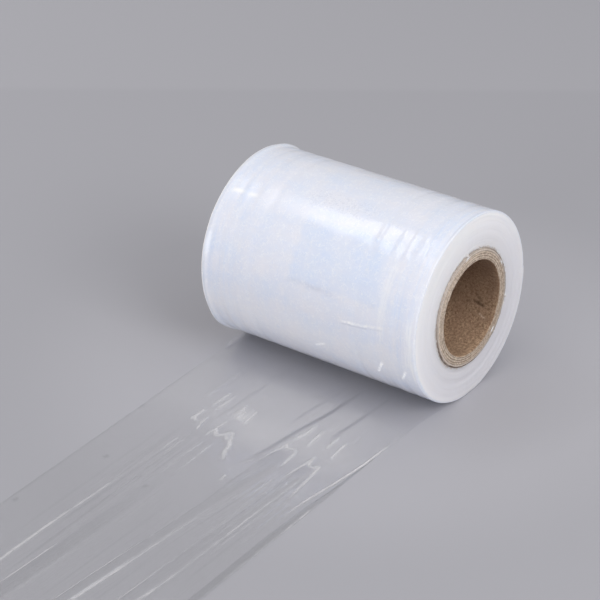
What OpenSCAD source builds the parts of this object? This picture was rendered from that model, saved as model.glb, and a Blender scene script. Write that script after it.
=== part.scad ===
// Stretch wrap roll. Clear plastic film is wound on a spiral paper core, and
// the free end of the film is paid out flat over the table in front of it.
// The roll lies on its side. Its axis runs along X, the free film runs along
// -Y, and the origin is the centre of the core's bore. All sizes are in mm.

/* [Core] */
// Diameter of the bore through the paper core
core_bore = 38; // [26:0.5:60]
// Wall of the paper core, all its plies together
core_wall = 4.75; // [2:0.25:10]
// How far the core stands out beyond the film at each end
core_overhang = 0.2; // [0:0.1:6]

/* [Wound film] */
// Width of the film web
web_width = 100; // [80:1:300]
// Depth of the film that is wound onto the core
wound_depth = 14.25; // [8:0.25:40]
// Width of one band of turns, as its edge shows on the end of the roll
band_depth = 1.1; // [0.6:0.1:4]
// How far the edges of the bands wander in and out at the ends
turn_wander = 0.4; // [0.05:0.05:1.5]
// Depth of the bands on the side where an outer turn has wandered away
turn_step = 0.15; // [0.05:0.05:0.5]
// Width of the flat spot that the soft roll has where it lies
flat_width = 10; // [4:0.5:20]

/* [Rims] */
// Length of the rounded shoulder at the near end
shoulder_length = 1.2; // [0.5:0.1:6]
// How much lower the near end face starts than the side of the roll
shoulder_drop = 1; // [0.4:0.1:5]
// Length of the flared lip at the far end
lip_length = 5; // [2:0.5:6]
// Height of the flared lip above the side of the roll
lip_height = 0.6; // [0.1:0.1:2]
// Radius of the lip's rounded edge
lip_edge = 0.7; // [0.3:0.1:1.8]

/* [Free film] */
// How far the free film reaches out from the axis of the roll
tail_reach = 210; // [140:5:600]
// Thickness of the free film as a solid
tail_thickness = 0.4; // [0.2:0.05:1.5]
// How far each edge of the free film is drawn in from the edge of the web
edge_draw = 0.6; // [0.5:0.1:2]
// How much further the stretched film draws in at its right edge
neck_in = 4.5; // [0:0.5:8]
// Distance over which the film draws in beside the roll
neck_length = 40; // [10:5:80]
// Width of the strip that is folded back along the right edge
fold_width = 5; // [1:0.5:6]
// Height of the folded strip above the flat film
fold_height = 0.8; // [0.2:0.1:2]
// Distance from the axis at which the folded strip starts
fold_start = 60; // [50:1:120]
// Height of a wrinkle above the flat film
wrinkle_height = 1.1; // [0.2:0.1:3]
// Width of a wrinkle at its foot
wrinkle_width = 4.4; // [1:0.2:4.6]
// Distance from the axis at which the wrinkles start
wrinkle_start = 58; // [50:1:120]
// Distance over which a wrinkle or the fold rises to its full height
wrinkle_rise = 26; // [5:1:60]

/* [Hidden] */
$fn = 128;

// Radii, lengths and levels that follow from the sizes above
bore_radius = core_bore / 2;
core_radius = bore_radius + core_wall;
roll_radius = core_radius + wound_depth;
half_web = web_width / 2;
core_length = web_width + 2 * (turn_wander + core_overhang);
floor_z = -sqrt(pow(roll_radius, 2) - pow(flat_width / 2, 2));

// Turns wander by an angle that never repeats, so no two bands line up
golden_angle = 137.5;
// Steps along a rounded shoulder or lip
round_steps = 7;

// Bands on the side where an outer turn has wandered away: start and end of
// each, as distances in from the near end and from the far end
near_bands = [[7, 10], [14, 19], [26, 28]];
far_bands = [[7, 9], [12, 16], [22, 25]];

// Wrinkles of the free film: place across the web where each starts and where
// it runs out, as shares of the web's width, and share of the full height
wrinkles = [
    [-0.40, -0.41, 0.3],
    [-0.27, -0.26, 1.0],
    [-0.21, -0.20, 0.6],
    [-0.12, -0.10, 0.9],
    [-0.01, -0.03, 0.4],
    [0.14, 0.04, 1.0],
    [0.20, 0.10, 0.8],
    [0.26, 0.22, 0.7],
    [0.33, 0.28, 0.9]
];
// Section of one wrinkle: place across its width and share of its height
wrinkle_section = [[-0.5, 0], [-0.2, 0.55], [0, 1], [0.2, 0.55], [0.5, 0]];
// Width over which the folded strip rises from the film at either side
fold_rise = 0.3;
// Steps along the edge of the flat film, and rows along the wrinkled film
flat_steps = 8;
tail_rows = 14;
// How far cutting blocks reach past what they cut
cut_past = 5;

// Smooth step from 0 to 1
function smooth(t) = let (u = min(max(t, 0), 1)) u * u * (3 - 2 * u);

// Edges of the bands of turns on one end, from the core out to a radius:
// pairs of distance from the middle of the roll and radius
function end_face(outer, first) =
    let (bands = max(3, round((outer - core_radius) / band_depth)))
    let (pitch = (outer - core_radius) / bands)
    [
        for (i = [0:bands - 1])
            for (k = [0, 1])
                [half_web + turn_wander * sin(golden_angle * (i + first)), core_radius + pitch * (i + k)]
    ];

// Rounded shoulder of the near end, from the end face up to the side
function shoulder() = [
    for (i = [0:round_steps])
        let (a = 90 * i / round_steps)
            [
                half_web - shoulder_length * (1 - cos(a)),
                roll_radius - shoulder_drop * (1 - sin(a))
            ]
];

// Flared lip of the far end, from the side up to its rounded edge
function lip() = concat(
    [
        for (i = [0:round_steps])
            let (t = i / round_steps)
                [half_web - lip_length + (lip_length - lip_edge) * t, roll_radius + lip_height * smooth(t)]
    ],
    [
        for (i = [1:round_steps])
            let (a = 90 * i / round_steps)
                [
                    half_web - lip_edge * (1 - sin(a)),
                    roll_radius + lip_height - lip_edge * (1 - cos(a))
                ]
    ]
);

// Shallow bands on the side, from an end inwards
function side_bands(bands) = [
    for (b = bands)
        for (p = [[b[0], 0], [b[0], 1], [b[1], 1], [b[1], 0]])
            [half_web - p[0], roll_radius - turn_step * p[1]]
];

function backwards(points) = [for (i = [len(points) - 1:-1:0]) points[i]];
function far_end(points) = [for (p = points) [-p[0], p[1]]];

// Half section of the wound film: along the near end face, over the side, and
// back down the far end face
film_section = concat(
    end_face(roll_radius - shoulder_drop, 0),
    shoulder(),
    side_bands(near_bands),
    far_end(backwards(side_bands(far_bands))),
    far_end(lip()),
    far_end(backwards(end_face(roll_radius + lip_height - lip_edge, 3)))
);

// Edges of the free film, and the strip that is folded back along the right one
left_edge = edge_draw - half_web;
function right_edge(d) = half_web - edge_draw - neck_in * smooth(d / neck_length);
function fold_rising(d) = smooth((d - fold_start) / wrinkle_rise);
function fold_row(d) =
    let (edge = right_edge(d))
    let (inner = edge - 2 * fold_rise - (fold_width - 2 * fold_rise) * fold_rising(d))
    [
        [inner - fold_rise, 0],
        [inner, fold_height * fold_rising(d)],
        [edge - fold_rise, fold_height * fold_rising(d)],
        [edge, 0]
    ];

// Points of one wrinkle across the film at a distance from the axis
function wrinkle_row(w, d) =
    let (along = max(0, d - wrinkle_start) / (tail_reach - wrinkle_start))
    let (centre = web_width * (w[0] + (w[1] - w[0]) * along))
    let (rising = smooth((d - wrinkle_start) / wrinkle_rise))
    [
        for (s = wrinkle_section)
            [centre + wrinkle_width * s[0], wrinkle_height * w[2] * s[1] * rising]
    ];

// One row of points across the free film: place across it and height
function film_row(d) = concat(
    [[left_edge, 0]],
    [for (w = wrinkles) for (p = wrinkle_row(w, d)) p],
    fold_row(d)
);

// The free film is flat beside the roll, and wrinkled from flat_reach on
flat_reach = min(wrinkle_start, fold_start);

module flat_film() {
    right = [for (j = [0:flat_steps]) let (d = flat_reach * j / flat_steps) [right_edge(d), -d]];
    translate([0, 0, floor_z])
        linear_extrude(tail_thickness)
            polygon(concat(right, [[left_edge, -flat_reach], [left_edge, 0]]));
}

module wrinkled_film() {
    pitch = (tail_reach - flat_reach) / tail_rows;
    rows = [for (j = [0:tail_rows]) let (d = flat_reach + pitch * j) [d, film_row(d)]];
    across = len(rows[0][1]);
    count = across * len(rows);
    top = [for (row = rows) for (p = row[1]) [p[0], -row[0], floor_z + tail_thickness + p[1]]];
    under = [for (p = top) [p[0], p[1], floor_z]];
    // Corners of each cell of the top, and then of the underside, turned over
    cells = [for (j = [0:tail_rows - 1]) for (i = [0:across - 2]) j * across + i];
    top_faces = [
        for (a = cells)
            for (f = [[a, a + 1, a + across + 1], [a, a + across + 1, a + across]]) f
    ];
    under_faces = [for (f = top_faces) [count + f[2], count + f[1], count + f[0]]];
    // Points around the rim, which the side walls follow
    rim = concat(
        [for (i = [0:across - 1]) i],
        [for (j = [1:tail_rows]) (j + 1) * across - 1],
        [for (i = [across - 2:-1:0]) tail_rows * across + i],
        [for (j = [tail_rows - 1:-1:1]) j * across]
    );
    side_faces = [
        for (k = [0:len(rim) - 1])
            let (here = rim[k], next = rim[(k + 1) % len(rim)])
                for (f = [[next, here, count + here], [next, count + here, count + next]]) f
    ];
    polyhedron(
        points = concat(top, under),
        faces = concat(top_faces, under_faces, side_faces),
        convexity = 6
    );
}

// Turns of film on the core, pressed flat where they lie on the table
module wound_film() {
    difference() {
        rotate([0, 90, 0])
            rotate_extrude()
                polygon([for (p = film_section) [p[1], p[0]]]);
        translate([-half_web - cut_past, -roll_radius, floor_z - roll_radius])
            cube([web_width + 2 * cut_past, 2 * roll_radius, roll_radius]);
    }
}

// The film is one web: its turns on the core, and its free end on the table
module film() {
    color([0.85, 0.87, 0.93])
        union() {
            union() {
                wound_film();
                flat_film();
            }
            wrinkled_film();
        }
}

// Paper tube that the film is wound on, cut flush with a little to spare
module core() {
    color([0.66, 0.56, 0.45])
        rotate([0, 90, 0])
            difference() {
                cylinder(r = core_radius, h = core_length, center = true);
                cylinder(r = bore_radius, h = core_length + 2 * cut_past, center = true);
            }
}

core();
film();
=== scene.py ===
# %% [markdown]
# # A stretch wrap roll, with its free end paid out over the table
# Clear plastic film is wound on a paper tube. The roll lies on its side, the end of the film is pulled out
# flat in front of it, and the pull has left long pleats in it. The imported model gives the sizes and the
# place of both parts. Three new pieces stand for them here: the paper core, the wound film and the free film.

# %% Load the frame
import math
from types import SimpleNamespace

import bmesh
import bpy
import numpy as np
from mathutils import Matrix, Vector, noise


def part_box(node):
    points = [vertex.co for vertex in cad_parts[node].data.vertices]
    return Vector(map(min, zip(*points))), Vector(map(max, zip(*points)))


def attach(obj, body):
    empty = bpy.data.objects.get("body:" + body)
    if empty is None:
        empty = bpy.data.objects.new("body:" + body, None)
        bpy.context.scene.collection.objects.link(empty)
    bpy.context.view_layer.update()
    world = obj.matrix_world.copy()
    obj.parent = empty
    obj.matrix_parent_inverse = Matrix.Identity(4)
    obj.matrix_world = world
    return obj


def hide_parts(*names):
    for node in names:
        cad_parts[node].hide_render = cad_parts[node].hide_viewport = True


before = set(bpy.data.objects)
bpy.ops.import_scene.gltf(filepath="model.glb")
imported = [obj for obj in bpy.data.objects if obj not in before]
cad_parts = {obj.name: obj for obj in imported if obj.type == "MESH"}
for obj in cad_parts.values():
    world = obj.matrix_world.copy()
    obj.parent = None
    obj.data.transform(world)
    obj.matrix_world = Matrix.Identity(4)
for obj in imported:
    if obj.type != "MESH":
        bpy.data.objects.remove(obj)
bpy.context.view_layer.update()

# %% [markdown]
# ## Sizes that the frame gives
# Blender works in metres, and the roll's axis is X. The radius of the bore is the smallest distance of any
# corner of the core from the axis. The side of the roll lies just below the lip, which is its highest place.

# %% Measure the frame
MM = 0.001
core_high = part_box("core")[1]
film_low, film_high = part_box("film")
lip_height = 0.6 * MM

core_end = core_high.x
core_radius = core_high.z
bore_radius = min(math.hypot(v.co.y, v.co.z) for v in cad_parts["core"].data.vertices)
roll_radius = film_high.z - lip_height
half_web = 50 * MM
floor_level = film_low.z
tail_reach = -film_low.y
print(f"bore {2 * bore_radius / MM:.2f}, core {2 * core_radius / MM:.2f}, roll {2 * roll_radius / MM:.2f} mm")


# %% [markdown]
# ## Small helpers for shapes
# A smooth step rounds every start and end below, and one function turns a finished bmesh into an object that
# stays at the origin, because a piece keeps its place in its mesh.

# %% Shape helpers
def smooth(value, low=0.0, high=1.0):
    """0 up to low, 1 from high on, and an S curve between them, for numbers and for arrays."""
    share = np.clip((value - low) / (high - low), 0.0, 1.0)
    return share * share * (3 - 2 * share)


def bump(value, low, high, soft):
    """1 between low and high and 0 outside, with soft edges."""
    return smooth(value, low - soft, low + soft) * (1 - smooth(value, high - soft, high + soft))


def uneven(x, y=0.0, z=0.0):
    """Smooth noise from about -1 to 1, the same in each run."""
    return noise.noise(Vector((x, y, z)))


def new_piece(name, bm, material):
    """Makes an object of a bmesh, smooth shaded, and prints its size in faces."""
    mesh = bpy.data.meshes.new(name)
    bm.to_mesh(mesh)
    bm.free()
    mesh.materials.append(material)
    mesh.shade_smooth()
    piece = bpy.data.objects.new(name, mesh)
    bpy.context.scene.collection.objects.link(piece)
    print(name, "has", len(mesh.polygons), "faces")
    return piece


def spun(section, steps):
    """Turns a closed section, a list of (place along the axis, distance from it), right round the X axis."""
    bm = bmesh.new()
    corners = [bm.verts.new((x, 0.0, r)) for x, r in section]
    edges = [bm.edges.new(pair) for pair in zip(corners, corners[1:] + corners[:1])]
    bmesh.ops.spin(
        bm,
        geom=corners + edges,
        cent=(0, 0, 0),
        axis=(1, 0, 0),
        dvec=(0, 0, 0),
        angle=2 * math.pi,
        steps=steps,
        use_merge=True,
    )
    bmesh.ops.recalc_face_normals(bm, faces=bm.faces)
    return bm


# %% [markdown]
# ## Shader maths as Python
# A material is a net of nodes. This class wraps one socket of that net, so that `1 - mask * 0.5` adds its
# Math nodes by itself. Every other node comes from one method, which sets it up before it links it.

# %% The wire class
class Wire:
    """One output in a node tree. Python's operators on it add Math nodes."""

    def __init__(self, tree, socket=None):
        self.tree = tree
        self.socket = socket

    def node(self, kind, settings=None, inputs=None, output=0):
        """Adds a node, makes its settings, fills its inputs with values or wires, and gives an output."""
        made = self.tree.nodes.new("ShaderNode" + kind)
        for name, value in (settings or {}).items():
            setattr(made, name, value)
        for name, value in (inputs or {}).items():
            if isinstance(value, Wire):
                self.tree.links.new(value.socket, made.inputs[name])
            else:
                made.inputs[name].default_value = value
        return Wire(self.tree, made.outputs[output]) if made.outputs else None

    def maths(self, operation, *numbers):
        return self.node("Math", {"operation": operation}, dict(enumerate(numbers)))

    def __add__(self, other):
        return self.maths("ADD", self, other)

    def __radd__(self, other):
        return self.maths("ADD", other, self)

    def __sub__(self, other):
        return self.maths("SUBTRACT", self, other)

    def __rsub__(self, other):
        return self.maths("SUBTRACT", other, self)

    def __mul__(self, other):
        return self.maths("MULTIPLY", self, other)

    def __pow__(self, other):
        return self.maths("POWER", self, other)

    def axes(self):
        """The X, Y and Z of a vector."""
        split = self.node("SeparateXYZ", inputs={"Vector": self})
        return [Wire(self.tree, socket) for socket in split.socket.node.outputs]

    def vector(self, x, y, z=0.0):
        return self.node("CombineXYZ", inputs={"X": x, "Y": y, "Z": z})

    def rise(self, low, high):
        """Smooth step of this value, from 0 at low to 1 at high."""
        ends = {"Value": self, "From Min": low, "From Max": high}
        return self.node("MapRange", {"interpolation_type": "SMOOTHSTEP"}, ends)

    def within(self, low, high, soft):
        """1 between low and high, with soft edges."""
        return self.rise(low - soft, low + soft) * (1 - self.rise(high - soft, high + soft))

    def clouds(self, scale, detail=2.0, roughness=0.5):
        """Noise from 0 to 1 on this vector."""
        return self.node(
            "TexNoise", inputs={"Vector": self, "Scale": scale, "Detail": detail, "Roughness": roughness}
        )

    def colours(self, none, full):
        """Colour between two, where this value is the share of the second."""
        ends = {0: self, 6: none, 7: full}
        return self.node("Mix", {"data_type": "RGBA"}, ends, output=2)

    def relief(self, depth):
        """Turns this value into a bent normal, as if it were a height."""
        return self.node("Bump", inputs={"Height": self, "Distance": depth})


def colour(red, green, blue):
    return (red, green, blue, 1.0)


def finish(name, surface):
    """Makes a material. The surface function gets an empty wire and gives the shader's values."""
    material = bpy.data.materials.new(name)
    material.use_nodes = True
    material.node_tree.nodes.clear()
    start = Wire(material.node_tree)
    shader = start.node("BsdfPrincipled", inputs=surface(start))
    start.node("OutputMaterial", inputs={"Surface": shader})
    print("finish", name, "has", len(material.node_tree.nodes), "nodes")
    return material


def cosine_of(degrees):
    return degrees.maths("COSINE", degrees * (math.pi / 180))


def round_place(start):
    """Place on a part of the roll: along its axis, degrees above the front, and distance from the axis."""
    x, y, z = start.node("TexCoord", output="Object").axes()
    degrees = z.maths("ARCTAN2", z, y * -1) * (180 / math.pi)
    return x, degrees, (y * y + z * z) ** 0.5


def stroke(x, arc, begin, end, width):
    """1 on a short straight mark between two places on an unrolled surface, with soft edges."""
    run, rise = end[0] - begin[0], end[1] - begin[1]
    length = math.hypot(run, rise)
    run, rise = run / length, rise / length
    along = (x - begin[0]) * run + (arc - begin[1]) * rise
    across = (arc - begin[1]) * run - (x - begin[0]) * rise
    return along.within(0.0, length, width) * across.within(-width / 2, width / 2, width / 2)


def strokes(x, arc, radius, width, ends):
    """Strokes on a round surface. Their two ends are in mm along the axis and degrees round it."""
    places = [[(along * MM, math.radians(around) * radius) for along, around in pair] for pair in ends]
    return [stroke(x, arc, begin, end, width) for begin, end in places]


def blended(wires, strengths):
    """Sum of several wires, each times its strength."""
    parts = [wire * strength for wire, strength in zip(wires, strengths)]
    return sum(parts[1:], parts[0])


# %% [markdown]
# ## The finish of the paper core
# The tube is wound from grey-brown recycled board and is matt. Its bore is browner and darker than the cut
# ends, mottled all over with short fibres, and has a butt seam between two strips of paper. A scuff shows
# dark just inside the near end. The top and back of the bore are darkened with painted shade. On the cut ends
# the plies show as fine rings, painted light makes them lighter towards the light, and a painted shadow line
# runs round the outer one, darkest on the side away from the light. A few small torn bits of film lie over
# that line.

# %% Marks on the paper
ply_depth = 0.95 * MM
seam_width, scuff_width, torn_width = 0.7 * MM, 1.1 * MM, 0.75 * MM
seam = ((44.0, -142.0), (47.2, -137.8))
scuffs = [
    ((40.6, -154.2), (45.4, -151.0)),
    ((41.0, -163.0), (43.4, -156.0)),
    ((36.6, -151.0), (41.6, -154.0)),
]
scuff_strengths = (0.9, 0.55, 0.3)
torn_bits = [
    ((-4.4, 22.3), (-2.0, 23.2)),
    ((17.4, 16.6), (19.4, 14.4)),
    ((19.8, 11.6), (20.9, 9.6)),
    ((23.6, -4.6), (24.4, -7.0)),
    ((22.6, -8.2), (22.2, -10.0)),
    ((15.4, -15.6), (13.4, -17.2)),
]


def bits_of_film(start):
    """1 on the small torn bits of film that lie over the edge of the core, given in mm across the end."""
    x, y, z = start.node("TexCoord", output="Object").axes()
    ragged = (start.vector(x, y, z).clouds(1500.0) - 0.5) * MM
    places = [[(a * MM, b * MM) for a, b in bit] for bit in torn_bits]
    bits = [stroke(y + ragged, z + ragged, begin, end, torn_width) for begin, end in places]
    return sum(bits[1:], bits[0]) * x.rise(half_web - 0.8 * MM, half_web - 0.4 * MM)


# %% [markdown]
# The wall of the bore and the cut ends get a colour each, from the same noises for the fibres, and the
# distance from the axis says which of the two is seen. Fibres, plies and scuffs also bend the surface a
# little, so that a low light shows them.

# %% Paper finish
wall_dark, wall_pale = colour(0.24, 0.145, 0.085), colour(0.68, 0.47, 0.315)
wall_blotch, wall_shadow = colour(0.33, 0.20, 0.13), colour(0.19, 0.115, 0.07)
seam_pale, scuff_dark = colour(0.85, 0.67, 0.53), colour(0.09, 0.05, 0.03)
cut_dark, cut_pale = colour(0.33, 0.245, 0.18), colour(0.86, 0.72, 0.59)
outer_ply, gap_shadow_dark = colour(0.80, 0.74, 0.70), colour(0.16, 0.10, 0.065)
torn_white = colour(0.95, 0.94, 0.95)


def bore_colour(degrees, mottled, blotches):
    """Colour of the wall of the bore, with painted shade that makes it darker at the top and the back."""
    wall = mottled.colours(wall_dark, wall_pale)
    wall = (blotches.rise(0.35, 0.7) * 0.4).colours(wall, wall_blotch)
    return (cosine_of(degrees + 195).rise(0.2, 1.0) * 0.4).colours(wall, wall_shadow)


def cut_colour(degrees, radius, mottled, blotches, plies):
    """Colour of the cut ends: the plies, painted light towards the light, and a painted shadow line round the
    outer one.
    """
    # Painted light: the cut ends are painted lighter on the side towards the light and darker away from it.
    painted_side_light = cosine_of(degrees - 45) * 0.14 - 0.18
    cut = (plies * 0.55 + mottled * 0.75 + painted_side_light).colours(cut_dark, cut_pale)
    outer = radius.rise(core_radius - 1.6 * MM, core_radius - 0.7 * MM)
    cut = (outer * 0.45).colours(cut, outer_ply)
    # Painted shadow: a dark line round the outer edge of the cut end, shown on the side away from the light.
    gap_shadow = radius.within(core_radius - 0.6 * MM, core_radius + 0.1 * MM, 0.12 * MM) * blotches.rise(0.3, 0.5)
    shadow_side = 1 - cosine_of(degrees - 60).rise(-0.2, 0.8) * 0.75
    return (gap_shadow * shadow_side * 0.9).colours(cut, gap_shadow_dark)


def paper(start):
    x, degrees, radius = round_place(start)
    arc = degrees * (math.pi / 180 * bore_radius)
    place = start.node("TexCoord", output="Object")
    unrolled = start.vector(x, arc, radius)
    fibres = unrolled.clouds(1000.0, 4.0, 0.7)
    specks = unrolled.clouds(2600.0, 2.0, 0.6)
    blotches = place.clouds(170.0, 3.0)
    mottled = fibres.rise(0.36, 0.64) * 0.65 + specks.rise(0.38, 0.66) * 0.35
    pale = strokes(x, arc, bore_radius, seam_width, [seam])[0] * fibres.rise(0.3, 0.55)
    dark = blended(strokes(x, arc, bore_radius, scuff_width, scuffs), scuff_strengths) * (1.25 - fibres)
    wall = (pale * 0.55).colours(bore_colour(degrees, mottled, blotches), seam_pale)
    wall = dark.colours(wall, scuff_dark)
    wandering = radius * (2 * math.pi / ply_depth) + (place.clouds(60.0) - 0.5) * 5.0
    plies = wandering.maths("SINE", wandering) * 0.5 + 0.5
    cut = cut_colour(degrees, radius, mottled, blotches, plies)
    cut = bits_of_film(start).colours(cut, torn_white)
    on_end = radius.rise(bore_radius + 0.15 * MM, bore_radius + 0.45 * MM)
    return {
        "Base Color": on_end.colours(wall, cut),
        "Roughness": fibres * 0.2 + 0.75,
        "Normal": (mottled + plies * on_end * 0.5 - dark * 0.8).relief(0.22 * MM),
        "Specular IOR Level": 0.25,
    }


paper_finish = finish("kraft_board", paper)

# %% [markdown]
# ## The paper core
# A spiral tube is a plain ring in section, so a spin makes it. Its cut ends aren't flat: each ply stands a
# hair in or out, and the inner ply is torn a little by the knife. Both are made by moving points after the
# spin, so that the tube's edge isn't a perfect circle when it is seen from close by.

# %% Paper core
core_steps = 288
plies_in_wall = 5
ply_groove = 0.12 * MM
core_gap = 0.03 * MM
edge_round = 0.35 * MM
ragged_depth, torn_depth, bore_wave = 0.10 * MM, 0.22 * MM, 0.10 * MM


def core_section():
    """Section of the core's wall: the near end, the outside, the far end and the bore."""
    outside = core_radius - core_gap
    ply = (outside - bore_radius - 2 * edge_round) / plies_in_wall
    end = [(core_end - edge_round, bore_radius), (core_end - edge_round / 3, bore_radius + edge_round / 3)]
    for index in range(plies_in_wall):
        inner = bore_radius + edge_round + ply * index
        end += [(core_end, inner), (core_end, inner + 0.62 * ply), (core_end - ply_groove, inner + 0.8 * ply)]
    end += [(core_end - 0.1 * MM, outside - edge_round / 2), (core_end - edge_round, outside)]
    far = [(-x, r) for x, r in reversed(end)]
    bore = [(x * MM, bore_radius) for x in range(-48, 49, 3)]
    return end + far + bore


core_bm = spun(core_section(), core_steps)
for corner in core_bm.verts:
    x, y, z = corner.co
    radius, turn = math.hypot(y, z), math.atan2(z, -y)
    around = (math.cos(turn), math.sin(turn))
    near_bore = 1 - smooth(radius, bore_radius, bore_radius + 1.2 * MM)
    if abs(x) > core_end - 2 * edge_round:
        ragged = uneven(7 * around[0], 7 * around[1], radius * 900) * ragged_depth
        ragged += near_bore * uneven(16 * around[0], 16 * around[1], 4.0) * torn_depth
        corner.co.x -= math.copysign(max(ragged + 0.05 * MM, 0.0), x)
    inward = near_bore * (uneven(5 * around[0], 5 * around[1], x * 60) + 0.6) * bore_wave
    corner.co.y += y / radius * inward
    corner.co.z += z / radius * inward
paper_core = new_piece("paper_core", core_bm, paper_finish)
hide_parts("core")

# %% [markdown]
# ## The finish of the wound film
# One layer of the film is clear, but hundreds of layers scatter the light and look milky, with a cool tint on
# the side and a whiter, waxy glow on the ends. Light goes some millimetres into it, which subsurface
# scattering gives. The outermost turn is glossy, and small waves in it make the edge of a reflection ragged.
# All parts of the finish read the same few noises, so these are made first, and handed round by name.

# %% Patterns of the wound film
film_white = colour(0.815, 0.82, 0.885)
film_cool = colour(0.70, 0.77, 0.92)
painted_bounce_pale = colour(0.93, 0.925, 0.955)
film_dim = colour(0.55, 0.58, 0.68)
# White of the film, also used for painted highlights.
highlight_and_film_white = colour(0.95, 0.95, 0.97)
airy_along, airy_round = (-13.0, 16.0), (63.0, 76.0)


def film_patterns(start):
    """The place on the roll and the noises that all parts of this finish share."""
    film = SimpleNamespace()
    film.x, film.degrees, film.radius = round_place(start)
    film.arc = film.degrees * (math.pi / 180 * roll_radius)
    unrolled = start.vector(film.x, film.arc, film.radius)
    film.round_lines = start.vector(film.x, film.arc * 0.05, film.radius * 0.3).clouds(700.0, 3.0, 0.6)
    film.bands = start.vector(film.x, film.arc * 0.35).clouds(130.0, 2.0)
    film.waves = start.vector(film.x * 0.6, film.arc * 1.3).clouds(90.0, 3.0)
    film.ripples = unrolled.clouds(420.0, 2.0)
    film.grain = unrolled.clouds(1300.0, 2.0, 0.6)
    slanting = start.vector(film.x + film.arc * 0.5, film.arc * 0.8 - film.x * 0.35)
    film.crinkles = slanting.clouds(560.0, 3.0, 0.65) - 0.5
    film.near_ends = film.x.maths("ABSOLUTE", film.x).rise(26 * MM, 46 * MM) * 0.6 + 0.15
    ragged_x = film.x + (film.grain - 0.5) * 6 * MM
    ragged_degrees = film.degrees + (film.grain - 0.5) * 4
    # Fine dim specks above the pressed field, where the side is also less glossy.
    film.airy = ragged_x.within(airy_along[0] * MM, airy_along[1] * MM, 3.0 * MM)
    film.airy = film.airy * ragged_degrees.within(airy_round[0], airy_round[1], 2.5)
    return film


# %% [markdown]
# ### The side
# A cooler field on the front is where two turns lie together without air between them. It ends below in a
# dim foot. Above it the side has fine dim specks and is less glossy. The lowest part is painted paler, as
# painted light that the floor throws back at it. Places are in mm along the axis and in degrees above the
# front.

# %% Colour of the side
pressed_along, pressed_round = (-9.0, 31.0), (18.0, 56.0)
floor_bounce_round = (-26.0, -6.0)


def side_colour(film):
    """Colour of the side before its marks: cool and white patches, crinkles and specks."""
    uneven_x = film.x + (film.waves - 0.5) * 8 * MM
    field_x = uneven_x.within(pressed_along[0] * MM, pressed_along[1] * MM, 1.5 * MM)
    field = field_x * (film.degrees + (film.grain - 0.5) * 3).within(pressed_round[0], pressed_round[1], 2.0)
    wavy_degrees = film.degrees + (film.waves - 0.5) * 9
    foot = field_x * wavy_degrees.within(pressed_round[0] - 2.0, pressed_round[0] + 1.0, 2.0)
    cool = film.waves.rise(0.35, 0.7) * 0.35 + film.bands.rise(0.35, 0.7) * 0.25
    cool = cool + film.round_lines.rise(0.4, 0.7) * film.near_ends * 0.5
    cool = cool + field * 0.4 + (film.ripples - 0.5) * 0.25
    side = cool.colours(film_white, film_cool)
    # Painted light: the lowest part of the side is painted paler, as light thrown back by the floor.
    side = (film.degrees.within(floor_bounce_round[0], floor_bounce_round[1], 8.0) * 0.32).colours(side, painted_bounce_pale)
    side = (foot * film.waves.rise(0.4, 0.6) * 0.42).colours(side, film_dim)
    side = (film.airy * film.grain.rise(0.5, 0.62) * 0.27).colours(side, film_dim)
    veins = 1 - film.crinkles.maths("ABSOLUTE", film.crinkles).rise(0.0, 0.05)
    side = (veins * film.ripples.rise(0.35, 0.65) * 0.5).colours(side, highlight_and_film_white)
    return (film.crinkles.rise(0.08, 0.25) * 0.4).colours(side, film_cool)


# %% [markdown]
# ### Creases and bands of stretched film
# Bands of stretched film look whitish. Short creases catch a lamp, and their highlights are painted: white
# in the colour, and a painted glow of light of their own, since paint alone is not bright enough. Some have a
# dim line of painted shade beneath. Two dashes near the far end, in line with the long streak, are painted
# highlights too.

# %% Marks on the side
crease_width, dim_line_width, highlight_dash_width = 0.95 * MM, 0.7 * MM, 1.5 * MM
crease_ends = [
    ((17.0, 3.0), (21.5, 4.2)),
    ((20.5, 3.4), (28.5, 5.0)),
    ((28.0, 5.2), (35.5, 7.0)),
    ((31.0, -27.0), (34.4, -17.0)),
    ((42.0, -26.5), (44.8, -18.0)),
    ((2.5, -23.0), (7.5, -18.5)),
]
crease_highlight = (1.0, 1.0, 0.7, 1.0, 1.0, 0.8)
crease_glow_share = (0.2, 0.2, 0.0, 1.0, 0.85, 0.5)
crease_shade = (0.35, 0.35, 0.21, 0.21)
crease_glow = colour(0.27, 0.27, 0.28)
highlight_dash_ends = [((-46.0, 57.0), (-41.2, 57.6)), ((-38.6, 57.3), (-34.8, 57.8))]
highlight_dash_strength = (1.0, 0.85)
band_places = [((44.5, 49.0), (-28.0, 16.0), 6.0), ((32.8, 36.0), (-4.0, 44.0), 8.0)]
band_white = (1.0, 0.6)


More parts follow.
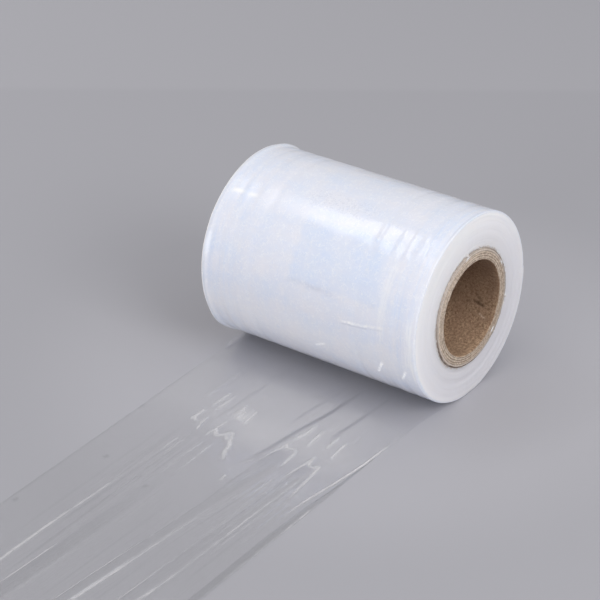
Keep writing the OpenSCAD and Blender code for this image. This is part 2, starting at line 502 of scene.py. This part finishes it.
def marked_side(film, side):
    """The side's colour with its marks, the painted highlights and shade of the creases and dashes, and the
    creases' painted glow.
    """
    bands = [
        film.x.within(along[0] * MM, along[1] * MM, 0.8 * MM) * film.degrees.within(*around, soft)
        for along, around, soft in band_places
    ]
    stretched = blended(bands, band_white) * film.round_lines.rise(0.42, 0.58)
    side = (stretched * 0.6).colours(side, highlight_and_film_white)
    beneath = film.arc + 0.9 * MM
    # Painted shade: a dim line beneath the first four creases.
    crease_shade_lines = strokes(film.x, beneath, roll_radius, dim_line_width, crease_ends[:4])
    side = blended(crease_shade_lines, crease_shade).colours(side, film_dim)
    broken = film.grain.rise(0.35, 0.6) * 0.7 + 0.3
    creases = strokes(film.x, film.arc, roll_radius, crease_width, crease_ends)
    highlight_dashes = strokes(film.x, film.arc, roll_radius, highlight_dash_width, highlight_dash_ends)
    # Painted highlights of the creases and of the two dashes.
    crease_and_dash_highlight = blended(creases, crease_highlight) * broken * 0.8
    crease_and_dash_highlight = crease_and_dash_highlight + blended(highlight_dashes, highlight_dash_strength) * (1.2 - film.grain * 0.5)
    side = crease_and_dash_highlight.colours(side, highlight_and_film_white)
    glow = blended(creases, crease_glow_share) * broken
    return side, glow.colours(colour(0.0, 0.0, 0.0), crease_glow)


# %% [markdown]
# ### The ends
# The edges of the turns show on an end as faint rings. The end is painted lighter towards the light and
# towards its rim, and darker on the side away from the light, as painted light and shade. Beside the core the
# film is torn, and the board's colour shines through, with white flecks of painted glints on it.

# %% Colour of the ends
end_lit = colour(0.93, 0.92, 0.945)
end_shaded = colour(0.71, 0.70, 0.735)
torn_tint = colour(0.62, 0.52, 0.44)


def end_colour(start, film):
    """Colour of the end faces."""
    rings = start.vector(film.radius, film.degrees * 0.00002).clouds(900.0, 2.0)
    # Painted light and shade: the end is lighter towards the light and towards its rim.
    painted_end_light = 0.42 + cosine_of(film.degrees - 62) * 0.46 + film.radius.rise(24 * MM, 36 * MM) * 0.25
    painted_end_light = painted_end_light + film.radius.rise(35 * MM, 37 * MM) * 0.2
    end = (painted_end_light - rings * 0.12).colours(end_shaded, end_lit)
    uneven_radius = film.radius + (film.ripples - 0.5) * 2.5 * MM
    torn = 1 - uneven_radius.rise(core_radius + 0.1 * MM, core_radius + 1.0 * MM)
    end = (torn * 0.6).colours(end, torn_tint)
    # White flecks on the torn film beside the core are painted glints.
    end = (torn * film.ripples.rise(0.52, 0.62)).colours(end, highlight_and_film_white)
    return bits_of_film(start).colours(end, highlight_and_film_white)


def with_rims(film, base):
    """Adds the thin dim line of the near rim, and a painted highlight on the far rim with a dim band inside
    it.
    """
    rim = film.x.within(half_web - 1.0 * MM, half_web - 0.35 * MM, 0.2 * MM)
    base = (rim * (film.degrees.within(66.0, 140.0, 8.0) * 0.55 + 0.12)).colours(base, film_dim)
    inside_rim = (film.x * -1).within(half_web - 1.6 * MM, half_web - 0.8 * MM, 0.3 * MM)
    base = (inside_rim * 0.3).colours(base, film_dim)
    # A painted highlight on the far rim.
    far_rim_highlight = (film.x * -1).rise(half_web - 0.5 * MM, half_web - 0.3 * MM)
    far_rim_highlight = far_rim_highlight * film.radius.rise(roll_radius - 0.5 * MM, roll_radius - 0.2 * MM)
    return far_rim_highlight.colours(base, highlight_and_film_white)


# %% [markdown]
# ### All of it together
# The side is glossy where the last turn is pressed flat, and the ends are dull. Light spreads about as far as
# the real film lets it.

# %% Wound film finish
def milky_film(start):
    film = film_patterns(start)
    near_end = film.x.rise(half_web - 1.2 * MM, half_web - 0.6 * MM)
    far_end = (film.x * -1).rise(half_web - 0.8 * MM, half_web - 0.2 * MM)
    dull = near_end + far_end
    shoulder = film.radius.rise(roll_radius - 1.1 * MM, roll_radius - 0.55 * MM)
    on_end = near_end * (1 - shoulder) + far_end
    side, glow = marked_side(film, side_colour(film))
    base = with_rims(film, on_end.colours(side, end_colour(start, film)))
    pressed = (film.x + (film.ripples - 0.5) * 3 * MM).rise(-12.0 * MM, -9.5 * MM) * (1 - film.airy * 0.9)
    lines = film.round_lines * film.near_ends
    heights = film.ripples * 0.4 + film.waves * 1.1 + lines * 0.12
    return {
        "Base Color": base,
        "Roughness": film.grain * 0.05 + lines * 0.03 + dull * 0.4 + 0.19 - pressed * 0.13,
        "Normal": heights.relief(0.12 * MM),
        "IOR": 1.5,
        "Subsurface Weight": 0.8,
        "Subsurface Radius": (0.9, 0.95, 1.0),
        "Subsurface Scale": 0.005,
        "Emission Color": glow,
        "Emission Strength": 1.0,
    }


film_finish = finish("milky_film", milky_film)

# %% [markdown]
# ## The wound film
# The turns are one thick ring of film, so a closed section and a spin make them too. Real turns never line
# up: their edges wander on the ends and the side has shallow bands. The near end has a small shoulder, and
# the far end a thin flared lip that stands up highest at the back. The roll is soft, so it is flat where it
# lies.

# %% Section of the wound film
turn_steps = 320
shoulder_length, shoulder_drop = 0.9 * MM, 0.55 * MM
lip_length, lip_edge = 3.0 * MM, 0.7 * MM
band_depth = 0.10 * MM
near_bands = [(7, 10), (14, 19), (26, 28)]
far_bands = [(7, 9), (12, 16), (22, 25)]
inner_radius = core_radius + 0.02 * MM


def side_radius(x):
    """Distance from the axis of the side of the roll, with its shallow bands, before it is made uneven."""
    inwards = (half_web - abs(x)) / MM
    depth = sum(bump(inwards, low, high, 0.5) for low, high in (near_bands if x > 0 else far_bands))
    lip = smooth(-x, half_web - lip_length, half_web - lip_edge) * lip_height
    return roll_radius - band_depth * depth + lip


def film_section():
    """Section of the wound film: near end, shoulder, side, lip and far end."""
    top_of_end = roll_radius - shoulder_drop
    section = [(half_web, r) for r in np.arange(inner_radius, top_of_end, 0.3 * MM)]
    for angle in np.radians(np.linspace(0, 90, 9)):
        x = half_web - shoulder_length * (1 - math.cos(angle))
        section.append((x, top_of_end + shoulder_drop * math.sin(angle)))
    side = np.linspace(half_web - shoulder_length - 0.6 * MM, lip_edge - half_web, 122)
    section += [(x, side_radius(x)) for x in side]
    crest = side_radius(side[-1])
    for angle in np.radians(np.linspace(15, 90, 6)):
        x = lip_edge * (1 - math.sin(angle)) - half_web
        section.append((x, crest - lip_edge * (1 - math.cos(angle))))
    section += [(-half_web, r) for r in np.arange(crest - lip_edge - 0.4 * MM, inner_radius, -0.5 * MM)]
    return section


turns_bm = spun(film_section(), turn_steps)
print("wound film section has", len(turns_bm.verts) // turn_steps, "points")


# %% [markdown]
# ### How the turns wander
# On the ends the edges of the turns go in and out, and torn bits stand up beside the core. The side has slow
# waves and fine lines round it, and the lip stands highest in two places. The heights below are in mm. Points
# against the core stay where they are, and no point goes lower than the roll's flat spot.

# %% Unevenness of the turns
lift_off_floor = 0.10 * MM
lowest = floor_level + lift_off_floor
wander_height, fine_wander, ledge_depth = 0.22, 0.10, 0.20
ledge_low, ledge_high = 33.2 * MM, 33.9 * MM
line_height, wave_height, ripple_height = 0.02, 0.07, 0.03
back_lip, front_lip, wavy_lip = 0.35, 0.4, 0.25
fleck_height, loose_width = 0.8, 1.6
loose_bits = [(82.5, 0.9), (101, 0.5), (118, 0.6), (140.4, 0.8), (151.2, 0.5)]
loose_bits += [(-166, 1.0), (-159, 0.8), (-131.7, 0.7)]


def move_turn(corner):
    """Moves one point of the wound film as the real turns wander, wave and flare."""
    x, y, z = corner.co
    radius, turn = math.hypot(y, z), math.atan2(z, -y)
    degrees = math.degrees(turn)
    c, s = math.cos(turn), math.sin(turn)
    if radius < inner_radius + 0.01 * MM and abs(x) < half_web - 0.2 * MM:
        return
    on_end = smooth(abs(x), half_web - 1.2 * MM, half_web - 0.3 * MM)
    outer = smooth(radius, core_radius + 8 * MM, roll_radius - 3 * MM)
    wander = wander_height * uneven(radius * 520, c * 0.7, s * 0.7)
    wander += fine_wander * uneven(radius * 1900, c * 1.5, s * 1.5)
    ledge = ledge_depth * smooth(radius, ledge_low, ledge_high) * bump(degrees, 120, 260, 30)
    beside_core = 1 - smooth(radius, inner_radius + 0.2 * MM, inner_radius + 1.2 * MM)
    flecks = max(0.0, uneven(c * 13, s * 13, 3.0) - 0.2) * fleck_height
    flecks += sum(tall * math.exp(-(((degrees - place) / loose_width) ** 2)) for place, tall in loose_bits)
    sideways = on_end * (wander - ledge) * MM
    if x > 0:
        sideways += flecks * beside_core * on_end * MM
    corner.co.x += math.copysign(1.0, x) * sideways
    lines = line_height * uneven(x * 1500, c * 1.2, s * 1.2) * smooth(abs(x), 20 * MM, 42 * MM)
    waves = wave_height * uneven(x * 45, c * 2.5, s * 2.5) + ripple_height * uneven(x * 160, c * 7, s * 7)
    on_lip = smooth(-x, half_web - 2.4 * MM, half_web - 0.7 * MM)
    high_lip = back_lip * bump(degrees, 116, 134, 12) + front_lip * bump(degrees, -44, -28, 8)
    high_lip += wavy_lip * max(0.0, uneven(c * 4, s * 4, 9.0))
    outward = outer * ((lines + waves) * (1 - on_end * 0.6) + on_lip * high_lip) * MM
    corner.co.y += y / radius * outward
    corner.co.z += z / radius * outward
    corner.co.z = max(corner.co.z, lowest)


for corner in turns_bm.verts:
    move_turn(corner)
wound_film = new_piece("wound_film", turns_bm, film_finish)
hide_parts("film")

# %% [markdown]
# ## The finish of the free film
# A single layer of stretch film is nearly invisible: it lets most light through and mirrors the rest, like a
# thin sheet of glass. So the finish is a mirror that is nearly all see-through. On top of that there are
# painted highlights, bright lines where a pleat turns to the light; painted shade, dim fields where the film
# is lifted off the table and dim lines along the pleats; and a faint painted haze near the roll, which stands
# for light that the film reflects there. Each point of the sheet carries three numbers, for the glint, the
# shade and the haze, which say how much of each it has.

# %% Free film finish
mirrored_near, mirrored_far = 0.045, 0.09
glint_gain, shade_gain, line_gain = 0.5, 0.16, 0.02
lifted, dimmed, glint_white = colour(0.86, 0.86, 0.88), colour(0.12, 0.12, 0.14), colour(0.94, 0.93, 0.935)


def clear_film(start):
    glint = start.node("Attribute", {"attribute_name": "glint"}, output="Fac")
    shade = start.node("Attribute", {"attribute_name": "shade"}, output="Fac")
    reflected_haze = start.node("Attribute", {"attribute_name": "reflected_haze"}, output="Fac")
    x, y, z = start.node("TexCoord", output="Object").axes()
    stretch_lines = start.vector(x, y * 0.02).clouds(1300.0, 2.0)
    breaks = start.vector(x, y * 0.25).clouds(700.0, 2.0)
    glint = glint * (breaks.rise(0.3, 0.7) * 0.6 + 0.6)
    hazy_reflection = reflected_haze.rise(0.0, 0.1) * (1 - shade.rise(0.0, 0.3))
    # Painted highlights and the painted haze turn the film white.
    glint_and_haze = start.maths("MAXIMUM", glint.rise(0.0, 0.25), hazy_reflection)
    tint = shade.colours(lifted, dimmed)
    mirrored = (y * -1).rise(0.07, 0.1) * (mirrored_far - mirrored_near) + mirrored_near
    alpha = mirrored + stretch_lines.rise(0.45, 0.8) * line_gain + reflected_haze
    alpha = alpha + glint * glint_gain + shade * shade_gain
    return {
        "Base Color": glint_and_haze.colours(tint, glint_white),
        "Metallic": (1 - glint_and_haze) * (1 - shade * 0.8),
        "Roughness": breaks * 0.12 + 0.10,
        "Alpha": alpha.maths("MINIMUM", alpha, 0.95),
        "IOR": 1.5,
    }


clear_finish = finish("clear_film", clear_film)

# %% [markdown]
# ## The free film
# Pulled film gathers into long pleats. Each is a tunnel with two sharp sides, and its mouth near the roll is
# hooked where the film gives way. The sheet starts as one flat grid. Its columns are moved to follow the
# pleats, so that the narrow lines stay clean, and then heights, glints and shades are added line by line.
# All places on it are in mm: across the film from the middle of the roll, and out from the roll's axis.

# %% Grid that follows the pleats
columns, rows = 282, 168
first_row, last_row = -3.0, tail_reach / MM
row_crowding = 0.055
left_edge = 0.6 - half_web / MM
right_edge = [(49.4, 0), (48.7, 10), (47.3, 20), (46.3, 30), (45.9, 60), (46.2, 100)]
right_edge += [(45.9, 140), (45.5, 210)]
outer_pleat = [(-26.6, 60), (-26.2, 100), (-25.0, 126), (-26.2, 155), (-26.4, 210)]
deep_left = [(-15.5, 70), (-14.2, 100), (-14.4, 130), (-15.8, 160), (-17.2, 195), (-17.6, 210)]
deep_right = [(-9.6, 78), (-8.6, 100), (-7.8, 115), (-8.0, 145), (-8.9, 175), (-10.2, 210)]
mid_left = [(13.6, 68), (11.4, 82), (10.4, 100), (10.6, 116), (9.5, 134), (7.4, 153), (5.6, 174), (3.2, 210)]
mid_right = [(19.0, 70), (20.2, 84), (17.5, 105), (15.2, 123), (13.5, 140), (11.9, 162)]
mid_right += [(10.0, 184), (8.2, 210)]
near_left = [(27.0, 70), (26.6, 98), (25.9, 118), (24.9, 131), (23.8, 150), (22.7, 174), (21.2, 210)]
near_right = [(32.0, 73), (31.2, 90), (30.7, 108), (30.4, 127), (29.7, 155), (28.5, 175), (27.0, 210)]
fold_line = [(45.3, 42), (44.8, 62), (43.4, 76), (42.1, 85), (40.4, 98), (39.6, 118), (39.4, 210)]
guides = [
    (0.00, [(left_edge, 0), (left_edge, 210)]),
    (0.14, outer_pleat),
    (0.31, deep_left),
    (0.40, deep_right),
    (0.55, mid_left),
    (0.67, mid_right),
    (0.78, near_left),
    (0.86, near_right),
    (0.94, fold_line),
    (1.00, right_edge),
]


def across_at(line, out):
    """Place across the film of a line, at each distance out from the axis."""
    return np.interp(out, [p[1] for p in line], [p[0] for p in line])


sheet_bm = bmesh.new()
bmesh.ops.create_grid(sheet_bm, x_segments=columns, y_segments=rows, size=0.5)
sheet_bm.verts.ensure_lookup_table()
unit = np.array([corner.co[:2] for corner in sheet_bm.verts]) + 0.5
row_share = unit[:, 1] + row_crowding * np.sin(2 * math.pi * unit[:, 1])
out = first_row + (last_row - first_row) * row_share
guide_places = np.array([across_at(line, out) for share, line in guides])
guide_shares = [share for share, line in guides]
across = np.array([np.interp(u, guide_shares, column) for u, column in zip(unit[:, 0], guide_places.T)])
place = np.column_stack([across, out])
print("free film grid has", len(place), "points")


# %% [markdown]
# A line on the film is a smooth curve through a few places. Around it the film has a narrow ridge, and the
# ridge fades out at both ends. A tunnel is the raised field between two lines, and it has a flat top.

# %% Lines and tunnels
height = np.zeros(len(place))
glint = np.zeros(len(place))
shade = np.zeros(len(place))
catches_light = np.interp(out, [80, 105, 120, 145, 165], [0.62, 0.32, 0.22, 0.27, 0.5])


def curve(points, pieces=6):
    """Smooth curve through a few points, as a list of close points."""
    points = np.array(points, float)
    ends = np.vstack([2 * points[0] - points[1], points, 2 * points[-1] - points[-2]])
    line = []
    for a, b, c, d in zip(ends, ends[1:], ends[2:], ends[3:]):
        for t in np.arange(pieces) / pieces:
            bent = (2 * a - 5 * b + 4 * c - d) * t**2 + (3 * b - a - 3 * c + d) * t**3
            line.append(0.5 * (2 * b + (c - a) * t + bent))
    return np.array(line + [points[-1]])


def near(line, reach):
    """The points of the film close to a line, their distances from it, and how far along it they are."""
    low, high = line.min(0) - reach, line.max(0) + reach
    chosen = np.flatnonzero(((place > low) & (place < high)).all(1))
    here = place[chosen]
    gap, share = np.full(len(here), np.inf), np.zeros(len(here))
    steps = np.linalg.norm(np.diff(line, axis=0), axis=1)
    begun = np.concatenate([[0], np.cumsum(steps)])
    for begin, end, step, reached in zip(line, line[1:], steps, begun):
        along = np.clip((here - begin) @ (end - begin) / step**2, 0, 1)
        distance = np.linalg.norm(here - begin - along[:, None] * (end - begin), axis=1)
        closer = distance < gap
        gap[closer] = distance[closer]
        share[closer] = (reached + along[closer] * step) / begun[-1]
    return chosen, gap, share


def ridge(points, width, light, rise=0.25, start=0.12, end=0.25):
    """Adds a line: its width and height in mm, and its light, a glint above 0 and a shade below."""
    chosen, gap, share = near(curve(points), 3 * width)
    strength = np.exp(-((gap / (0.6 * width)) ** 2)) * smooth(share, 0, start) * smooth(1 - share, 0, end)
    if light > 0:
        glint[chosen] = np.maximum(glint[chosen], strength * light * catches_light[chosen])
    else:
        shade[chosen] = np.maximum(shade[chosen], -strength * light)
    height[chosen] = np.maximum(height[chosen], strength * rise)


def tunnel(left, right, begins, ends, tall, dim):
    """Raises the film between two lines, from begins mm out, fully by ends mm, and paints shade on it there.
    """
    lines = across_at(left, out), across_at(right, out)
    share = (across - lines[0]) / (lines[1] - lines[0])
    inside = np.clip(1 - np.abs(2 * share - 1) ** 5, 0, 1) * smooth(out, begins, ends)
    height[:] = np.maximum(height, inside * tall)
    shade[:] = np.maximum(shade, bump(share, 0.12, 0.88, 0.1) * smooth(out, begins, ends) * dim)


# %% [markdown]
# ### The pleats
# Three tunnels run down the film, and a strip is folded back along its right edge. Every pair of strong lines
# is the two sides of one tunnel, drawn as painted highlights and painted shade. Fainter stretch lines of the
# same kind lie beside them.

# %% Pleats and the folded edge
tunnel(deep_left, deep_right, 95, 165, 0.9, 0.3)
tunnel(mid_left, mid_right, 71, 78, 1.1, 0.2)
tunnel(near_left, near_right, 74, 82, 0.9, 0.16)
tunnel([(x + 2.6, d) for x, d in fold_line], right_edge, 68, 90, 0.7, 0.45)

ridge([(-25.6, 98), (-25.0, 126), (-26.2, 155), (-26.4, 209)], 1.2, 0.75, start=0.3, end=0.02)
ridge([p for p in deep_left if p[1] > 150] + [(-17.6, 209)], 1.1, 0.5, end=0.02)
ridge(deep_right[1:-1] + [(-10.2, 209)], 0.9, 0.2, start=0.5, end=0.02)
ridge(mid_left[3:-1] + [(3.2, 209)], 0.65, 1.0, start=0.1, end=0.02)
ridge(mid_right[2:-1] + [(8.2, 209)], 0.65, 0.6, start=0.25, end=0.02)
ridge(near_left[1:-1] + [(21.2, 209)], 0.7, 0.8, start=0.2, end=0.02)
ridge(near_right[1:-1] + [(27.0, 209)], 0.7, 0.5, start=0.2, end=0.02)
ridge(fold_line[:6], 0.9, 0.75, rise=0.5, start=0.2, end=0.4)
ridge([(45.9, 92), (46.0, 120), (45.7, 155)], 0.8, 0.6, rise=0.1, start=0.2, end=0.3)
ridge([(34.9, 98), (34.8, 113)], 0.7, 0.4)
ridge([(6.8, 97), (7.2, 102)], 0.9, 0.9)

for begin, end, light in [
    ((-28.4, 80), (-28.2, 135), 0.3),
    ((-23.6, 82), (-23.6, 118), 0.4),
    ((-21.4, 84), (-21.3, 113), 0.35),
    ((-18.4, 84), (-17.4, 172), 0.35),
    ((-14.2, 80), (-14.2, 118), 0.35),
    ((-10.6, 80), (-8.8, 112), 0.35),
    ((-6.8, 112), (-7.0, 150), 0.35),
    ((8.4, 118), (7.4, 142), 0.3),
    ((17.9, 100), (17.0, 124), 0.35),
    ((20.6, 88), (19.6, 112), 0.3),
    ((22.6, 86), (22.2, 112), 0.35),
    ((24.6, 92), (23.6, 132), 0.35),
    ((37.8, 96), (36.9, 125), 0.25),
    ((-27.3, 78), (-27.4, 130), -0.22),
    ((-22.6, 84), (-23.9, 165), -0.25),
    ((-20.0, 70), (-19.4, 200), -0.28),
    ((-16.2, 84), (-16.4, 120), -0.2),
    ((-31.8, 70), (-33.0, 180), -0.12),
    ((1.6, 112), (-0.6, 205), -0.15),
    ((35.3, 110), (35.0, 160), -0.15),
    ((17.6, 140), (15.6, 205), -0.12),
]:
    ridge([begin, end], 1.1, light, rise=0.15, start=0.3, end=0.3)

# %% [markdown]
# ### The mouths of the pleats
# Where each tunnel starts, the film turns over in a small hook, and a painted highlight marks where it
# catches the light. Above the mouths are painted highlights of short dashes, a crumpled patch and a long
# squiggle. Long dim lines of painted shade run back under the roll.

# %% Hooks, dashes and dim lines
ridge([(-27.0, 67), (-27.3, 71), (-27.6, 77)], 1.2, 0.7)
ridge([(-27.4, 72.5), (-25.6, 75.2), (-23.6, 75.4), (-22.6, 74)], 0.9, 0.75)
ridge([(-22.9, 71), (-22.2, 76), (-20.9, 81)], 1.0, 0.65)
ridge([(-26.0, 52.5), (-26.2, 58), (-26.6, 64.5)], 1.3, 0.55)
ridge([(-23.3, 53.5), (-23.3, 60), (-23.7, 66)], 1.1, 0.5)
ridge([(-31.6, 37), (-32.0, 50), (-33.0, 64)], 2.2, 0.25)

ridge([(-15.0, 56), (-15.0, 61), (-14.2, 66)], 2.2, 0.5, rise=0.4)
ridge([(-12.9, 59), (-12.6, 64), (-12.4, 67)], 3.0, 0.75, rise=0.5)
ridge([(-11.0, 57), (-10.8, 62), (-10.6, 67)], 2.6, 0.5, rise=0.4)
ridge([(-9.6, 57), (-8.6, 64), (-7.6, 68.5)], 1.3, 0.65, rise=0.4)
ridge([(-13.6, 46.5), (-12.4, 48.5), (-11.8, 50)], 2.2, 0.26)

ridge([(-14.7, 69), (-15.4, 75), (-16.0, 83)], 0.9, 0.5)
squiggle = [(-15.6, 75), (-12.6, 78.6), (-10.4, 77.6), (-8.6, 74.6), (-7.0, 76)]
squiggle += [(-5.6, 79.5), (-3.6, 82), (-2.6, 86), (0.6, 92)]
ridge(squiggle, 1.7, 0.62, rise=0.5, start=0.05, end=0.15)
ridge([(-9.8, 76.4), (-7.6, 78.4), (-5.4, 80.4)], 1.6, 0.5, rise=0.4)

ridge([(14.9, 51), (15.2, 56), (14.4, 62), (13.7, 67)], 1.7, 0.7, rise=0.4)
ridge([(19.8, 53), (19.8, 59), (20.7, 67)], 1.5, 0.6, rise=0.4)
ridge([(27.1, 53.5), (26.9, 64.5)], 1.4, 0.55, rise=0.4)
ridge([(31.4, 55), (32.0, 62), (32.5, 68.5)], 1.4, 0.6, rise=0.4)
ridge([(13.7, 66), (13.3, 70), (12.0, 78), (10.2, 92)], 1.2, 0.6, end=0.6)
ridge([(13.0, 67.5), (14.4, 70.4), (16.4, 70.6), (18.4, 68.5)], 1.0, 0.75)
ridge([(18.6, 68.5), (19.9, 75), (20.4, 85)], 1.2, 0.6, end=0.5)
ridge([(26.9, 68), (27.0, 73), (25.6, 83), (24.4, 93)], 1.2, 0.6, end=0.6)
ridge([(27.2, 72), (28.6, 75.4), (30.6, 75.6), (32.0, 72.5)], 1.0, 0.8)
ridge([(32.0, 71.5), (33.2, 81), (34.3, 91), (34.8, 102)], 1.2, 0.68, end=0.5)
ridge([(10.0, 44), (10.4, 51)], 1.6, 0.24)
ridge([(20.8, 46), (22.0, 52)], 2.2, 0.2)
ridge([(32.6, 49), (33.6, 56)], 1.8, 0.24)

ridge([(16.0, 20), (14.4, 42), (12.5, 53), (10.8, 64), (9.6, 75), (7.0, 86), (3.0, 94)], 1.6, -0.34)
ridge([(9.6, 20), (8.0, 38), (6.6, 50), (5.6, 62)], 1.9, -0.14)
ridge([(27.4, 20), (26.6, 38), (25.4, 52), (25.0, 62)], 1.6, -0.24)
ridge([(-16.6, 20), (-17.8, 42), (-18.6, 58), (-19.4, 80)], 1.7, -0.12)
ridge([(-30.5, 30), (-30.4, 45)], 1.6, -0.1)
ridge([(45.5, 55), (45.3, 68), (45.0, 78), (44.8, 90), (44.6, 102)], 0.9, -0.6, rise=0.1)
ridge([(left_edge + 0.3, 30), (left_edge + 0.3, 205)], 1.3, -0.2, rise=0.1)
# Small dark spots, added to the shade number.
for dark_spot in [(-12.9, 119.5), (-37.6, 113), (-46.8, 152.5), (-49.0, 79)]:
    ridge([(dark_spot[0] - 0.7, dark_spot[1] + 1.4), (dark_spot[0] + 0.7, dark_spot[1] - 1.4)], 1.8, -0.35, rise=0.0)

# %% [markdown]
# ### Haze and fine stretch lines
# Near the roll a faint painted haze stands for light that the film reflects there. Further out, hundreds of
# fine stretch lines run along the pleats. They follow the columns of the grid, so a noise of the column's
# place draws them.

# %% Haze and fine lines
edge_reflected_haze, middle_reflected_haze, patch_reflected_haze = 0.055, 0.025, 0.02
fine_glint, fine_shade, lines_across = 0.3, 0.4, 110
# Painted reflection: a faint haze near the roll, where the film mirrors the bright roll and the lamps.
reflected_haze = (edge_reflected_haze + middle_reflected_haze * bump(across, -25, 32, 10)) * smooth(out, 25, 42) * (1 - smooth(out, 64, 90))
reflected_haze += patch_reflected_haze * bump(out, 62, 86, 7) * (bump(across, -7, 8, 4) + bump(across, 33, 39, 4))
fine = np.array([uneven(share * lines_across, 7.0) for share in unit[:, 0]])
lined = bump(out, 82, 132, 12) * (bump(across, -29, -13, 2) + bump(across, 13, 37, 3))
lined += 0.5 * smooth(out, 100, 150) * bump(across, -30, 40, 3)
np.maximum(glint, np.clip(fine, 0, 1) * lined * fine_glint, out=glint)
np.maximum(shade, np.clip(-fine, 0, 1) * lined * fine_shade, out=shade)
print("haze up to", round(float(reflected_haze.max()), 3))

# %% [markdown]
# ### The sheet itself
# The film lies on the table and passes under the roll's flat spot. Its left corner beside the roll curls up.
# A thin Solidify closes the sheet, so that it has two faces as real film does.

# %% Free film
flat_lift, flat_until = 0.03, 12
curl_height, curl_width, curl_glint, sag_height = 2.0, 3.0, 0.2, 0.05
film_thickness = 0.03 * MM

curl = bump(out, 15, 27, 6) * smooth(left_edge + curl_width - across, 0, curl_width)
height += curl * curl_height
curled_edge = bump(out, 16, 27, 3) * bump(across, left_edge + 0.6, left_edge + 1.8, 0.5)
np.maximum(glint, curled_edge * curl_glint, out=glint)
sag = sag_height * np.sin(across * 0.21 + 0.5) * np.sin(out * 0.05)
height += flat_lift + np.clip(sag, 0, None)
height[out < flat_until] = flat_lift
for corner, (x, y), z in zip(sheet_bm.verts, place, height):
    corner.co = (x * MM, -y * MM, floor_level + z * MM)
bmesh.ops.recalc_face_normals(sheet_bm, faces=sheet_bm.faces)
free_film = new_piece("free_film", sheet_bm, clear_finish)
for name, values in [("glint", glint), ("shade", shade), ("reflected_haze", reflected_haze)]:
    free_film.data.attributes.new(name, "FLOAT", "POINT").data.foreach_set("value", values)
solid = free_film.modifiers.new("thickness", "SOLIDIFY")
solid.thickness = film_thickness
solid.offset = 0.0
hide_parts("film")

# %% [markdown]
# ## Floor
# The roll lies on a plain pale grey sweep. Far behind it the sweep starts to rise, which shows as a faint
# change of tone, so the floor's colour changes softly there. Around the roll the floor is painted paler, a
# painted pool of light that the roll and the lamps throw there.

# %% Floor
floor_size = 12.0
sweep_turn = math.radians(32.6)
sweep_distance, sweep_soft = 0.247, 0.004
light_pool_inner, light_pool_outer = 0.09, 0.15
floor_front, floor_back = colour(0.414, 0.410, 0.438), colour(0.432, 0.428, 0.456)
floor_light_pool = colour(0.455, 0.450, 0.480)


def sweep(start):
    x, y, z = start.node("TexCoord", output="Object").axes()
    behind = y * math.cos(sweep_turn) - x * math.sin(sweep_turn)
    tone = behind.rise(sweep_distance - sweep_soft, sweep_distance + sweep_soft)
    # Painted light: a paler pool on the floor around the roll.
    from_middle = (x * x + y * y) ** 0.5
    pale = 1 - from_middle.rise(light_pool_inner, light_pool_outer)
    return {
        "Base Color": pale.colours(tone.colours(floor_front, floor_back), floor_light_pool),
        "Roughness": 0.6,
        "Specular IOR Level": 0.2,
    }


floor_bm = bmesh.new()
bmesh.ops.create_grid(floor_bm, x_segments=1, y_segments=1, size=floor_size / 2)
bmesh.ops.translate(floor_bm, verts=floor_bm.verts, vec=(0, 0, floor_level))
floor = new_piece("floor", floor_bm, finish("sweep", sweep))

# %% [markdown]
# ## Light
# The room is bright and soft, and brighter above. A large lamp past the near end lights the end face and
# throws a wide shadow past the far end. A small one close to the near end brightens the top of that face,
# and a low one in front lights the side. The long streak on the roll is the mirror image of a long soft box,
# seen at a slant, so that it narrows towards the far end. A lamp's power is worked out from how bright its
# face should look, where 1 is white.

# %% Lights
def soft_lamp(name, place, size, brightness, aim=(0.0, 0.0, 0.0)):
    """Rectangular lamp at a place, turned to aim, whose face has that brightness."""
    data = bpy.data.lights.new(name, "AREA")
    data.shape = "RECTANGLE"
    data.size, data.size_y = size
    data.energy = math.pi * size[0] * size[1] * brightness
    lamp = bpy.data.objects.new(name, data)
    lamp.location = place
    lamp.rotation_euler = (Vector(aim) - Vector(place)).to_track_quat("-Z", "Y").to_euler()
    bpy.context.scene.collection.objects.link(lamp)
    print(name, "has", round(data.energy, 2), "W")


soft_lamp("side_lamp", (1.2, -0.35, 0.9), (0.7, 0.7), 4.8)
soft_lamp("near_lamp", (0.34, -0.02, 0.36), (0.3, 0.3), 1.1)
soft_lamp("front_lamp", (-0.2, -1.8, 0.32), (0.8, 0.8), 4.1)
soft_lamp("streak_lamp", (-0.738, -0.140, 1.196), (0.53, 1.17), 3.2, aim=(-1.511, -0.065, 0.566))

room_low, room_high = colour(0.485, 0.485, 0.505), colour(0.62, 0.62, 0.63)
world = bpy.data.worlds.new("room")
world.use_nodes = True
sky = Wire(world.node_tree)
upward = sky.node("TexCoord", output="Generated").axes()[2]
room_light = upward.rise(-0.05, 0.9).colours(room_low, room_high)
world.node_tree.links.new(room_light.socket, world.node_tree.nodes["Background"].inputs["Color"])
bpy.context.scene.world = world

# %% [markdown]
# ## Camera
# It looks down on the roll from the near end's side, about 0.85 m away, with a long lens.

# %% Camera
camera_place = (0.44089, -0.60714, 0.42711)
camera_turn, camera_down, camera_roll = math.radians(37.890), math.radians(30.346), math.radians(-2.040)
camera_data = bpy.data.cameras.new("camera")
camera_data.lens = 132.99
camera_data.sensor_width = 36.0
camera = bpy.data.objects.new("camera", camera_data)
turned = Matrix.Rotation(camera_turn, 4, "Z") @ Matrix.Rotation(math.pi / 2 - camera_down, 4, "X")
camera.matrix_world = Matrix.Translation(camera_place) @ turned @ Matrix.Rotation(camera_roll, 4, "Z")
bpy.context.scene.collection.objects.link(camera)
bpy.context.scene.camera = camera
bpy.context.scene.view_settings.view_transform = "Standard"

# %% [markdown]
# ## Finish
# Each piece rides on the model's one body.

# %% Ride on the body and finish
for piece in (paper_core, wound_film, free_film):
    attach(piece, "root")
